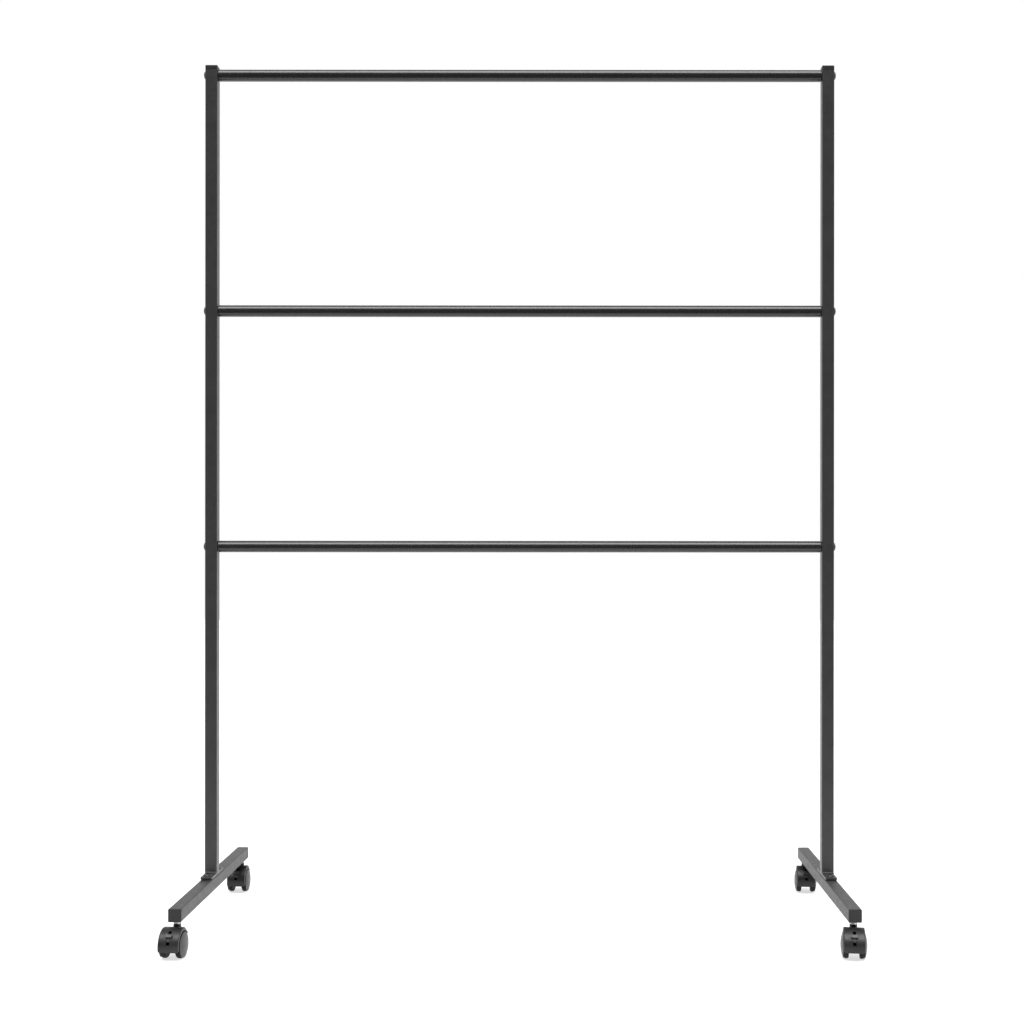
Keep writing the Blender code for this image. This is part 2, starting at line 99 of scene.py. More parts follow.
def studio_light():
    """The world: plain white to the camera, and soft directional light to everything else."""
    world = bpy.data.worlds.new("studio")
    bpy.context.scene.world = world
    world.use_nodes = True
    tree = world.node_tree
    tree.nodes.clear()
    place = add_node(tree, "ShaderNodeTexCoord")
    way = add_node(tree, "ShaderNodeSeparateXYZ", {"Vector": place.outputs["Generated"]})
    around = ramp(tree, way.outputs["Y"], *BACKDROP_START, FRONT_LIGHT, BACKDROP_LIGHT)
    fading = ramp(tree, way.outputs["Z"], *BACKDROP_FADE, 1.0, BACKDROP_TOP)
    room = add_node(tree, "ShaderNodeMath", {0: around, 1: fading}, operation="MULTIPLY")
    wide = add_node(tree, "ShaderNodeVectorMath", {0: place.outputs["Generated"],
                    1: PANEL_SQUASH}, operation="MULTIPLY")
    even = add_node(tree, "ShaderNodeVectorMath", {0: wide.outputs[0]}, operation="NORMALIZE")
    near = add_node(tree, "ShaderNodeVectorMath", {0: even.outputs[0], 1: PANEL_WAY},
                    operation="DOT_PRODUCT")
    panel = ramp(tree, near.outputs["Value"], *PANEL_EDGE, 0.0, PANEL_LIGHT)
    total = add_node(tree, "ShaderNodeMath", {0: room.outputs[0], 1: panel}, operation="ADD")
    sight = add_node(tree, "ShaderNodeLightPath")
    level = add_node(tree, "ShaderNodeMix", {0: sight.outputs["Is Camera Ray"],
                     2: total.outputs[0], 3: 1.0}, data_type="FLOAT")
    light = add_node(tree, "ShaderNodeBackground", {"Color": (1, 1, 1, 1),
                     "Strength": level.outputs[0]})
    add_node(tree, "ShaderNodeOutputWorld", {"Surface": light.outputs[0]})


def pale_floor():
    """The floor under the wheels, a plain square sheet."""
    shape = bmesh.new()
    middle = FRAME_Y - FLOOR_FRONT + FLOOR_SIZE / 2
    bmesh.ops.create_grid(shape, x_segments=1, y_segments=1, size=FLOOR_SIZE / 2,
                          matrix=Matrix.Translation((0, middle, 0)))
    mesh = bpy.data.meshes.new("floor")
    shape.to_mesh(mesh)
    shape.free()
    floor = bpy.data.objects.new("floor", mesh)
    bpy.context.scene.collection.objects.link(floor)
    paint = bpy.data.materials.new("floor_white")
    paint.use_nodes = True
    shader = paint.node_tree.nodes["Principled BSDF"]
    shader.inputs["Base Color"].default_value = (FLOOR_WHITE, FLOOR_WHITE, FLOOR_WHITE, 1)
    shader.inputs["Emission Color"].default_value = (1, 1, 1, 1)
    shader.inputs["Emission Strength"].default_value = FLOOR_GLOW
    shader.inputs["Roughness"].default_value = FLOOR_ROUGH
    shader.inputs["Specular IOR Level"].default_value = FLOOR_GLOSS
    mesh.materials.append(paint)


def set_camera():
    """A camera in front of the stand, a little right of its middle and looking level."""
    lens = bpy.data.cameras.new("camera")
    lens.lens = CAMERA_LENS
    lens.shift_x, lens.shift_y = CAMERA_SHIFT
    camera = bpy.data.objects.new("camera", lens)
    camera.location = (CAMERA_SIDE, FRAME_Y - CAMERA_DISTANCE, CAMERA_HEIGHT)
    camera.rotation_euler = (math.pi / 2, CAMERA_ROLL, 0)
    bpy.context.scene.collection.objects.link(camera)
    bpy.context.scene.camera = camera


studio_light()
pale_floor()
set_camera()
bpy.context.scene.view_settings.view_transform = "Standard"

# ------------------------------------------------------------------ powder-coated tubes
# The uprights, floor legs and rails are steel tube with a fine orange-peel black powder
# coat, glossier on the rails and more satin on the legs. One node tree makes any of them: it
# fills the ring between two rounded outlines and draws it out to length.
TUBE_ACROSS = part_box("left_leg")[1][0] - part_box("left_leg")[0][0]
TUBE_WALL = 0.0015
TUBE_CORNER = 0.0022
TUBE_CORNER_STEPS = 7
RAIL_ACROSS = RAIL_HIGH[2] - RAIL_LOW[2]
RAIL_CORNER_STEPS = 24
SCREW_HOLE = 0.0046
RIVET_HOLE = 0.0059
MERGE = 0.000002             # points closer than this are one point
SHARP_ANGLE = 32.0           # edges that turn more than this are left sharp
LEVELS = ("top", "middle", "bottom")
SIDES = {"left": -1, "right": 1}
ENDS = {"front": -1, "rear": 1}
POWDER_BLACK = (0.028, 0.028, 0.0286)
POWDER_BLACK_WORN = (0.038, 0.038, 0.0386)
RAIL_BLACK = (0.0115, 0.0115, 0.012)
RAIL_BLACK_WORN = (0.016, 0.016, 0.0166)
CLOUD_SCALE = 26.0           # wide patches of worn colour
HAZE_SCALE = 90.0            # patches of duller gloss
POWDER_PEEL = 620.0
POWDER_RELIEF = 0.00004


def grain(tree, scale, detail, vector):
    """Noise on the piece's own coordinates."""
    return add_node(tree, "ShaderNodeTexNoise", {"Vector": vector, "Scale": scale,
                    "Detail": detail, "Roughness": 0.55}).outputs["Fac"]


def coated(name, dark, light, rough, peel_scale, peel_height, metallic=0.0, specular=0.5):
    """A finish whose colour, roughness and surface relief vary a little from place to place."""
    made = bpy.data.materials.new(name)
    made.use_nodes = True
    tree = made.node_tree
    shader = tree.nodes["Principled BSDF"]
    place = add_node(tree, "ShaderNodeTexCoord").outputs["Object"]
    cloud = ramp(tree, grain(tree, CLOUD_SCALE, 3.0, place), 0.35, 0.7, 0.0, 1.0)
    fleck = ramp(tree, grain(tree, peel_scale * 1.7, 2.0, place), 0.3, 0.75, 0.0, 1.0)
    mixed = add_node(tree, "ShaderNodeMath", {0: cloud, 1: fleck}, operation="MULTIPLY")
    color = add_node(tree, "ShaderNodeMix", {0: mixed.outputs[0], 6: (*dark, 1),
                     7: (*light, 1)}, data_type="RGBA")
    tree.links.new(color.outputs[2], shader.inputs["Base Color"])
    haze = ramp(tree, grain(tree, HAZE_SCALE, 4.0, place), 0.3, 0.7, rough[0], rough[1])
    tree.links.new(haze, shader.inputs["Roughness"])
    peel = add_node(tree, "ShaderNodeMath", {0: grain(tree, peel_scale, 2.0, place),
                    1: grain(tree, peel_scale * 3.1, 1.0, place)}, operation="ADD")
    relief = add_node(tree, "ShaderNodeBump", {"Height": peel.outputs[0], "Strength": 1.0,
                      "Distance": peel_height})
    tree.links.new(relief.outputs["Normal"], shader.inputs["Normal"])
    shader.inputs["Metallic"].default_value = metallic
    shader.inputs["Specular IOR Level"].default_value = specular
    return made


powder_coat = coated("black_powder_coat", POWDER_BLACK, POWDER_BLACK_WORN, (0.34, 0.42),
                     POWDER_PEEL, POWDER_RELIEF)
leg_coat = coated("satin_powder_coat", POWDER_BLACK, POWDER_BLACK_WORN, (0.44, 0.52),
                  POWDER_PEEL, POWDER_RELIEF)
rail_coat = coated("semi_gloss_powder_coat", RAIL_BLACK, RAIL_BLACK_WORN, (0.22, 0.28),
                   700.0, 0.00003, specular=0.6)


def tree_with_inputs(name, inputs):
    """An empty geometry tree with named inputs and one geometry output."""
    tree = bpy.data.node_groups.new(name, "GeometryNodeTree")
    tree.interface.new_socket("Geometry", in_out="OUTPUT", socket_type="NodeSocketGeometry")
    for label, kind in inputs.items():
        tree.interface.new_socket(label, in_out="INPUT", socket_type=f"NodeSocket{kind}")
    given = tree.nodes.new("NodeGroupInput").outputs
    result = tree.nodes.new("NodeGroupOutput").inputs[0]
    return tree, given, result


def made_by(tree, name, values, base=None):
    """The plain mesh that a geometry tree makes with these named values."""
    start = base or bpy.data.meshes.new(f"{name}_base")
    maker = bpy.data.objects.new(f"{name}_maker", start)
    bpy.context.scene.collection.objects.link(maker)
    step = maker.modifiers.new("maker", "NODES")
    step.node_group = tree
    for item in tree.interface.items_tree:
        if item.item_type == "SOCKET" and item.name in values:
            step[item.identifier] = values[item.name]
    bpy.context.view_layer.update()
    graph = bpy.context.evaluated_depsgraph_get()
    mesh = bpy.data.meshes.new_from_object(maker.evaluated_get(graph), depsgraph=graph)
    mesh.name = name
    bpy.data.objects.remove(maker, do_unlink=True)
    return mesh


def outline(tree, across, corner, count):
    """A square outline with rounded corners; a corner of half its width makes it round."""
    square = add_node(tree, "GeometryNodeCurvePrimitiveQuadrilateral",
                      {"Width": across, "Height": across})
    return add_node(tree, "GeometryNodeFilletCurve", {"Curve": square.outputs[0],
                    "Count": count, "Radius": corner, "Limit Radius": True},
                    mode="POLY").outputs[0]


def tube_tree():
    """Tube: the ring between outer and inner outline, drawn out along +Z."""
    tree, given, result = tree_with_inputs("drawn_tube", {"Across": "Float", "Wall": "Float",
                                           "Corner": "Float", "Length": "Float",
                                           "Corner Steps": "Int", "Finish": "Material"})
    bore = add_node(tree, "ShaderNodeMath", {0: given["Wall"], 1: -2.0, 2: given["Across"]},
                    operation="MULTIPLY_ADD")
    inner_corner = add_node(tree, "ShaderNodeMath", {0: given["Corner"], 1: given["Wall"]},
                            operation="SUBTRACT")
    rings = add_node(tree, "GeometryNodeJoinGeometry")
    for across, corner in ((given["Across"], given["Corner"]),
                           (bore.outputs[0], inner_corner.outputs[0])):
        tree.links.new(outline(tree, across, corner, given["Corner Steps"]), rings.inputs[0])
    end = add_node(tree, "GeometryNodeFillCurve", {"Curve": rings.outputs[0]}, mode="NGONS")
    along = add_node(tree, "ShaderNodeCombineXYZ", {"Z": given["Length"]})
    drawn = add_node(tree, "GeometryNodeExtrudeMesh", {"Mesh": end.outputs[0],
                     "Offset": along.outputs[0], "Offset Scale": 1.0, "Individual": False})
    back = add_node(tree, "GeometryNodeFlipFaces", {"Mesh": end.outputs[0]})
    both = add_node(tree, "GeometryNodeJoinGeometry")
    tree.links.new(back.outputs[0], both.inputs[0])
    tree.links.new(drawn.outputs[0], both.inputs[0])
    welded = add_node(tree, "GeometryNodeMergeByDistance", {"Geometry": both.outputs[0],
                      "Distance": MERGE})
    solid = add_node(tree, "GeometryNodeRealizeInstances", {"Geometry": welded.outputs[0]})
    finish = add_node(tree, "GeometryNodeSetMaterial", {"Geometry": solid.outputs[0],
                      "Material": given["Finish"]})
    tree.links.new(finish.outputs[0], result)
    return tree


drawn_tube = tube_tree()


def tube(name, across, corner, start, end, corner_steps):
    """A straight tube from one point to another."""
    start, end = Vector(start), Vector(end)
    mesh = made_by(drawn_tube, name, {"Across": across, "Wall": TUBE_WALL, "Corner": corner,
                   "Length": (end - start).length, "Corner Steps": corner_steps,
                   "Finish": powder_coat})
    turn = (end - start).to_track_quat("Z", "Y").to_matrix().to_4x4()
    mesh.transform(Matrix.Translation(start) @ turn)
    return mesh


def piece_of(name, mesh, finish, body, nodes):
    """A finished piece: its shaded mesh, finish, body and the CAD nodes it replaces."""
    finishes = finish if isinstance(finish, tuple) else (finish,)
    which = [min(face.material_index, len(finishes) - 1) for face in mesh.polygons]
    mesh.materials.clear()
    for coat in finishes:
        mesh.materials.append(coat)
    mesh.polygons.foreach_set("material_index", which)
    mesh.shade_smooth()
    mesh.set_sharp_from_angle(angle=math.radians(SHARP_ANGLE))
    piece = bpy.data.objects.new(name, mesh)
    bpy.context.scene.collection.objects.link(piece)
    even = piece.modifiers.new("even_faces", "WEIGHTED_NORMAL")
    even.keep_sharp = True
    piece.data = baked(piece)
    piece.modifiers.clear()
    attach(piece, body)
    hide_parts(*nodes)
    return piece


def baked(piece):
    """The mesh of a piece with its modifiers done."""
    bpy.context.view_layer.update()
    graph = bpy.context.evaluated_depsgraph_get()
    return bpy.data.meshes.new_from_object(piece.evaluated_get(graph), depsgraph=graph)


def mesh_of(shape):
    """A bmesh as a plain mesh."""
    mesh = bpy.data.meshes.new("shape")
    shape.to_mesh(mesh)
    shape.free()
    return mesh


def combined(base, tool, operation, self_crossing=False):
    """Two meshes joined or cut by an exact Boolean."""
    keep = bpy.data.objects.new("base", base)
    other = bpy.data.objects.new("tool", tool)
    for thing in (keep, other):
        bpy.context.scene.collection.objects.link(thing)
    step = keep.modifiers.new("step", "BOOLEAN")
    step.operation = operation
    step.object = other
    step.solver = "EXACT"
    step.use_self = self_crossing
    mesh = baked(keep)
    for thing in (keep, other):
        bpy.data.objects.remove(thing, do_unlink=True)
    return mesh


def rod(radius, start, end, steps=32):
    """A solid cylinder from one point to another."""
    start, end = Vector(start), Vector(end)
    shape = bmesh.new()
    turn = (end - start).to_track_quat("Z", "Y").to_matrix().to_4x4()
    place = Matrix.Translation((start + end) / 2) @ turn
    bmesh.ops.create_cone(shape, cap_ends=True, segments=steps, radius1=radius, radius2=radius,
                          depth=(end - start).length, matrix=place)
    return mesh_of(shape)


def middle_of(node):
    """The middle of a CAD node's box."""
    low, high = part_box(node)
    return (Vector(low) + Vector(high)) / 2


for level in LEVELS:
    low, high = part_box(f"{level}_rail")
    height = (low[2] + high[2]) / 2
    rail = tube(f"{level}_rail", RAIL_ACROSS, RAIL_ACROSS / 2, (low[0], FRAME_Y, height),
                (high[0], FRAME_Y, height), RAIL_CORNER_STEPS)
    piece_of(f"{level}_rail_tube", rail, rail_coat, "frame", [f"{level}_rail"])

for side in SIDES:
    low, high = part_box(f"{side}_leg")
    middle = ((low[0] + high[0]) / 2, (low[2] + high[2]) / 2)
    leg = tube(f"{side}_leg", TUBE_ACROSS, TUBE_CORNER, (middle[0], low[1], middle[1]),
               (middle[0], high[1], middle[1]), TUBE_CORNER_STEPS)
    for end in ENDS:
        screw = middle_of(f"{side}_foot_{end}_screw")
        leg = combined(leg, rod(SCREW_HOLE, (screw.x, screw.y, middle[1]),
                                (screw.x, screw.y, high[2] + TUBE_WALL)), "DIFFERENCE")
        stem = middle_of(f"{end}_{side}_stem")
        leg = combined(leg, rod(RIVET_HOLE, (stem.x, stem.y, low[2] - TUBE_WALL),
                                (stem.x, stem.y, middle[1])), "DIFFERENCE")
    piece_of(f"{side}_leg_tube", leg, leg_coat, "frame", [f"{side}_leg"])


# ------------------------------------------------------------------ uprights
# Each upright is a square tube on a flat steel foot plate. Fillet welds run across the front
# and back of the tube's foot, and the whole is powder-coated after welding.
FOOT_PLATE = 0.006
FOOT_PLATE_WIDTH = 0.0244
PLATE_CORNER = 0.003
PLATE_EDGE = 0.0008
PLATE_UNDER_EDGE = 0.0021
WELD_SIZE = 0.0041
WELD_LENGTH = 0.0195
WELD_PITCH = 0.0021
RIPPLE_THICK = 0.5           # along the seam, as a part of the weld's size
RIPPLE_SIZES = (0.9, 1.04)
RIPPLE_LEAN = 0.35
TUBE_SINK = 0.0002           # how far the tube goes into its foot plate


def rounded_block(low, high, axis, corner, edge, low_edge=None):
    """A box with round edges along one axis and eased edges round its high and low ends."""
    low, high = Vector(low), Vector(high)
    shape = bmesh.new()
    place = Matrix.Translation((low + high) / 2) @ Matrix.Diagonal((*(high - low), 1))
    bmesh.ops.create_cube(shape, size=1.0, matrix=place)
    long = [e for e in shape.edges if abs((e.verts[0].co - e.verts[1].co)[axis]) > 1e-6]
    bmesh.ops.bevel(shape, geom=long, offset=corner, segments=6, profile=0.5, affect="EDGES")
    middle = (low[axis] + high[axis]) / 2
    for sign, offset in ((1, edge), (-1, edge if low_edge is None else low_edge)):
        rim = [e for e in shape.edges if e.calc_face_angle() > math.radians(60)
               and (e.verts[0].co[axis] - middle) * sign > 0]
        bmesh.ops.bevel(shape, geom=rim, offset=offset, segments=4, profile=0.5, affect="EDGES")
    return mesh_of(shape)


def weld_tree():
    """Weld bead: overlapping ripples set out along X at a steady pitch."""
    tree, given, result = tree_with_inputs("weld_bead", {"Length": "Float", "Size": "Float",
                                           "Pitch": "Float", "Seed": "Int",
                                           "Finish": "Material"})
    half = add_node(tree, "ShaderNodeMath", {0: given["Length"], 1: 0.5}, operation="MULTIPLY")
    less = add_node(tree, "ShaderNodeMath", {0: half.outputs[0], 1: -1.0}, operation="MULTIPLY")
    first = add_node(tree, "ShaderNodeCombineXYZ", {"X": less.outputs[0]})
    last = add_node(tree, "ShaderNodeCombineXYZ", {"X": half.outputs[0]})
    seam = add_node(tree, "GeometryNodeCurvePrimitiveLine", {"Start": first.outputs[0],
                    "End": last.outputs[0]})
    steps = add_node(tree, "GeometryNodeResampleCurve", {"Curve": seam.outputs[0],
                     "Length": given["Pitch"]}, mode="LENGTH")
    ripple = add_node(tree, "GeometryNodeMeshUVSphere", {"Segments": 20, "Rings": 12,
                      "Radius": given["Size"]})
    uneven = add_node(tree, "FunctionNodeRandomValue", {2: RIPPLE_SIZES[0],
                      3: RIPPLE_SIZES[1], "Seed": given["Seed"]}, data_type="FLOAT")
    size = add_node(tree, "ShaderNodeCombineXYZ", {"X": RIPPLE_THICK, "Y": uneven.outputs[1],
                    "Z": uneven.outputs[1]})
    lean = add_node(tree, "FunctionNodeEulerToRotation", {"Euler": (0.0, 0.0, RIPPLE_LEAN)})
    bead = add_node(tree, "GeometryNodeInstanceOnPoints", {"Points": steps.outputs[0],
                    "Instance": ripple.outputs[0], "Rotation": lean.outputs[0],
                    "Scale": size.outputs[0]})
    solid = add_node(tree, "GeometryNodeRealizeInstances", {"Geometry": bead.outputs[0]})
    finish = add_node(tree, "GeometryNodeSetMaterial", {"Geometry": solid.outputs[0],
                      "Material": given["Finish"]})
    tree.links.new(finish.outputs[0], result)
    return tree


weld_bead = weld_tree()

for number, side in enumerate(SIDES):
    low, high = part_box(f"{side}_upright")
    x = (low[0] + high[0]) / 2
    plate_top = low[2] + FOOT_PLATE
    upright = tube(f"{side}_upright", TUBE_ACROSS, TUBE_CORNER,
                   (x, FRAME_Y, plate_top - TUBE_SINK), (x, FRAME_Y, high[2]),
                   TUBE_CORNER_STEPS)
    plate = rounded_block((x - FOOT_PLATE_WIDTH / 2, low[1], low[2]),
                          (x + FOOT_PLATE_WIDTH / 2, high[1], plate_top), 2, PLATE_CORNER,
                          PLATE_EDGE, PLATE_UNDER_EDGE)
    upright = combined(upright, plate, "UNION")
    for end in ENDS:
        hole = middle_of(f"{side}_foot_{end}_screw")
        upright = combined(upright, rod(SCREW_HOLE, (hole.x, hole.y, low[2] - FOOT_PLATE),
                           (hole.x, hole.y, plate_top + FOOT_PLATE)), "DIFFERENCE")
    for level in LEVELS:
        height = middle_of(f"{level}_rail").z
        upright = combined(upright, rod(SCREW_HOLE, (x - TUBE_ACROSS, FRAME_Y, height),
                           (x + TUBE_ACROSS, FRAME_Y, height)), "DIFFERENCE")
    for seed, way in enumerate(ENDS.values()):
        weld = made_by(weld_bead, "weld", {"Length": WELD_LENGTH, "Size": WELD_SIZE,
                       "Pitch": WELD_PITCH, "Seed": 10 * number + seed, "Finish": powder_coat})
        weld.transform(Matrix.Translation((x, FRAME_Y + way * TUBE_ACROSS / 2, plate_top)))
        upright = combined(upright, weld, "UNION", self_crossing=True)
    piece_of(f"{side}_upright_weldment", upright, powder_coat, "frame",
             [f"{side}_upright"])

# ------------------------------------------------------------------ end plugs and caps
# Moulded black plastic plugs close the legs and the tops of the uprights. Each has a square
# head flush with the tube and a stub pressed into it.
PLUG_HEAD = 0.003
PLUG_DEPTH = 0.009
CAP_HEAD = 0.0085
CAP_DEPTH = 0.005
PLUG_EDGE = 0.0007
PLUG_STUB_INSET = 0.0018
moulded_plastic = coated("moulded_black_plastic", (0.009, 0.009, 0.0093),
                         (0.014, 0.014, 0.0145), (0.4, 0.5), 1500.0, 0.00002)


def end_plug(head, depth):
    """A plug facing +Z, with its face at the origin."""
    half = TUBE_ACROSS / 2
    stub = half - PLUG_STUB_INSET
    cover = rounded_block((-half, -half, -head), (half, half, 0), 2, TUBE_CORNER, PLUG_EDGE)
    inside = rounded_block((-stub, -stub, -head - depth), (stub, stub, -head / 2), 2,
                           PLUG_EDGE, PLUG_EDGE / 2)
    return combined(cover, inside, "UNION")


def copies_tree():
    """A copy of one object on each point, turned to face the point's way."""
    tree, given, result = tree_with_inputs("seated_copies", {"Seats": "Geometry",
                                           "Copy": "Object", "Turn": "Float",
                                           "Seed": "Int", "Finish": "Material"})
    facing = add_node(tree, "GeometryNodeInputNamedAttribute", {"Name": "facing"},
                      data_type="FLOAT_VECTOR")
    upright_way = add_node(tree, "FunctionNodeAlignRotationToVector",
                           {"Vector": facing.outputs[0]}, axis="Z")
    least = add_node(tree, "ShaderNodeMath", {0: given["Turn"], 1: -1.0}, operation="MULTIPLY")
    spin = add_node(tree, "FunctionNodeRandomValue", {2: least.outputs[0], 3: given["Turn"],
                    "Seed": given["Seed"]}, data_type="FLOAT")
    about = add_node(tree, "FunctionNodeAxisAngleToRotation", {"Axis": (0, 0, 1),
                     "Angle": spin.outputs[1]})
    turned_way = add_node(tree, "FunctionNodeRotateRotation",
                          {"Rotation": upright_way.outputs[0],
                           "Rotate By": about.outputs[0]}, rotation_space="LOCAL")
    master = add_node(tree, "GeometryNodeObjectInfo", {"Object": given["Copy"]})
    placed = add_node(tree, "GeometryNodeInstanceOnPoints", {"Points": given["Seats"],
                      "Instance": master.outputs["Geometry"],
                      "Rotation": turned_way.outputs[0]})
    solid = add_node(tree, "GeometryNodeRealizeInstances", {"Geometry": placed.outputs[0]})
    finish = add_node(tree, "GeometryNodeSetMaterial", {"Geometry": solid.outputs[0],
                      "Material": given["Finish"]})
    tree.links.new(finish.outputs[0], result)
    return tree


seated_copies = copies_tree()


def copies(name, master, seats, finish, turn=0.0, seed=0):
    """One mesh holding a copy of the master at each (place, facing)."""
    base = bpy.data.meshes.new("seats")
    base.from_pydata([place for place, _ in seats], [], [])
    facing = base.attributes.new("facing", "FLOAT_VECTOR", "POINT")
    for entry, (_, way) in zip(facing.data, seats):
        entry.vector = way
    original = bpy.data.objects.new("master", master)
    mesh = made_by(seated_copies, name, {"Copy": original, "Turn": turn, "Seed": seed,
                   "Finish": finish}, base)
    bpy.data.objects.remove(original, do_unlink=True)
    return mesh


plug_nodes = [f"{side}_leg_{end}_plug" for side in SIDES for end in ENDS]
plug_seats = []
for side in SIDES:
    for end, way in ENDS.items():
        middle = middle_of(f"{side}_leg_{end}_plug")
        low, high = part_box(f"{side}_leg_{end}_plug")
        face = low[1] if way < 0 else high[1]
        plug_seats.append(((middle.x, face, middle.z), (0, way, 0)))
piece_of("leg_end_plugs", copies("leg_end_plugs", end_plug(PLUG_HEAD, PLUG_DEPTH),
         plug_seats, moulded_plastic), moulded_plastic, "frame", plug_nodes)

cap_nodes = [f"{side}_upright_cap" for side in SIDES]
cap_seats = [((middle_of(node).x, FRAME_Y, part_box(node)[1][2]), (0, 0, 1)) for node in cap_nodes]
piece_of("upright_caps", copies("upright_caps", end_plug(CAP_HEAD, CAP_DEPTH), cap_seats,
         moulded_plastic), moulded_plastic, "frame", cap_nodes)

# ------------------------------------------------------------------ screws
# Black-coated M8 flanged button-head screws with a hexagon socket. One goes through the
# outside of an upright into each rail end, and two hold each foot plate to its leg.
SCREW_FLANGE = 0.0089
FLANGE_HEIGHT = 0.0012
FLANGE_EASE = 0.0005
SCREW_DOME = 0.0084
SCREW_HEIGHT = 0.0045
SCREW_CROWN = 0.0030
SCREW_SHANK = 0.0039
RAIL_SCREW_LENGTH = 0.043
FOOT_SCREW_LENGTH = 0.014
SOCKET_ACROSS = 0.0050
SOCKET_DEPTH = 0.0026
coated_steel = coated("black_coated_steel", (0.012, 0.012, 0.0125), (0.022, 0.022, 0.022),
                      (0.28, 0.4), 900.0, 0.00001, specular=0.65)


def arc(center, radius, start, end, steps):
    """Points on a circle, from one angle in degrees to another."""
    turns = [math.radians(start + (end - start) * i / steps) for i in range(steps + 1)]
    return [(center[0] + radius * math.cos(a), center[1] + radius * math.sin(a)) for a in turns]


def turned(profile, steps):
    """The solid that a profile of (radius, height) points sweeps round Z."""
    shape = bmesh.new()
    points = [shape.verts.new((radius, 0, height)) for radius, height in profile]
    edges = [shape.edges.new(pair) for pair in zip(points, points[1:])]
    bmesh.ops.spin(shape, geom=points + edges, axis=(0, 0, 1), cent=(0, 0, 0),
                   angle=math.tau, steps=steps, use_merge=True)
    bmesh.ops.remove_doubles(shape, verts=shape.verts, dist=MERGE)
    bmesh.ops.recalc_face_normals(shape, faces=shape.faces)
    return mesh_of(shape)


def hexagon(across, low, high):
    """An upright hexagonal prism."""
    shape = bmesh.new()
    corner = across / 2 / math.cos(math.pi / 6)
    bmesh.ops.create_cone(shape, cap_ends=True, segments=6, radius1=corner, radius2=corner,
                          depth=high - low, matrix=Matrix.Translation((0, 0, (low + high) / 2)))
    return mesh_of(shape)


def screw_master(shank):
    """A flanged button-head screw facing +Z, with its flange's underside at the origin."""
    rise = SCREW_HEIGHT - FLANGE_HEIGHT
    reach = SCREW_DOME - SCREW_CROWN
    radius = (reach ** 2 + rise ** 2) / (2 * rise) + FLANGE_HEIGHT
    drop = math.degrees(math.asin(min(1.0, reach / radius)))
    dome = arc((SCREW_CROWN, SCREW_HEIGHT - radius), radius, 90 - drop, 90, 10)
    profile = [(0, -shank), (SCREW_SHANK, -shank), (SCREW_SHANK, 0), (SCREW_FLANGE - 0.0003, 0)]
    profile += arc((SCREW_FLANGE - FLANGE_EASE, 0.0006), FLANGE_EASE, -60, 90, 6)
    profile += [(dome[0][0] + 0.0001, 0.0011)] + dome + [(0, SCREW_HEIGHT)]
    head = turned(profile, 64)
    return combined(head, hexagon(SOCKET_ACROSS, SCREW_HEIGHT - SOCKET_DEPTH,
                    SCREW_HEIGHT + 0.001), "DIFFERENCE")


rail_screw_seats = []
rail_screw_nodes = []
for level in LEVELS:
    for side, way in SIDES.items():
        node = f"{level}_rail_{side}_screw"
        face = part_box(f"{side}_upright")[0][0] if way < 0 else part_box(f"{side}_upright")[1][0]
        rail_screw_seats.append(((face, FRAME_Y, middle_of(node).z), (way, 0, 0)))
        rail_screw_nodes.append(node)
piece_of("rail_screws", copies("rail_screws", screw_master(RAIL_SCREW_LENGTH),
         rail_screw_seats, coated_steel, math.pi, 4), coated_steel, "frame",
         rail_screw_nodes)

foot_screw_nodes = [f"{side}_foot_{end}_screw" for side in SIDES for end in ENDS]
foot_screw_seats = [((*middle_of(node).xy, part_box("left_upright")[0][2] + FOOT_PLATE),
                     (0, 0, 1)) for node in foot_screw_nodes]
piece_of("foot_screws", copies("foot_screws", screw_master(FOOT_SCREW_LENGTH),
         foot_screw_seats, coated_steel, math.pi, 9), coated_steel, "frame",
         foot_screw_nodes)

# ------------------------------------------------------------------ rail inserts
# A moulded threaded insert closes each rail end; only its flange shows, between the rail and
# the upright.
INSERT_FLANGE = 0.002
INSERT_RADIUS = 0.0106
INSERT_BODY = 0.0102
INSERT_BORE = 0.0043
INSERT_DEPTH = 0.018
INSERT_EASE = 0.0004


def insert_master():
    """A threaded insert facing +Z, with its flange face at the origin."""
    rim = INSERT_RADIUS - INSERT_EASE
    deep = -INSERT_FLANGE - INSERT_DEPTH
    profile = [(INSERT_BORE, deep), (INSERT_BORE, 0)]
    profile += arc((rim, -INSERT_EASE), INSERT_EASE, 90, 0, 4)
    profile += arc((rim, INSERT_EASE - INSERT_FLANGE), INSERT_EASE, 0, -90, 4)
    profile += [(INSERT_BODY, -INSERT_FLANGE), (INSERT_BODY, deep), (INSERT_BORE, deep)]
    return turned(profile, 64)


insert_nodes = [f"{level}_rail_{side}_insert" for level in LEVELS for side in SIDES]
insert_seats = []
for node in insert_nodes:
    way = -1 if "_left_" in node else 1
    low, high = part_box(node)
    face = low[0] if way < 0 else high[0]
    insert_seats.append(((face, FRAME_Y, middle_of(node).z), (way, 0, 0)))
piece_of("rail_end_inserts", copies("rail_end_inserts", insert_master(), insert_seats,
         moulded_plastic), moulded_plastic, "frame", insert_nodes)

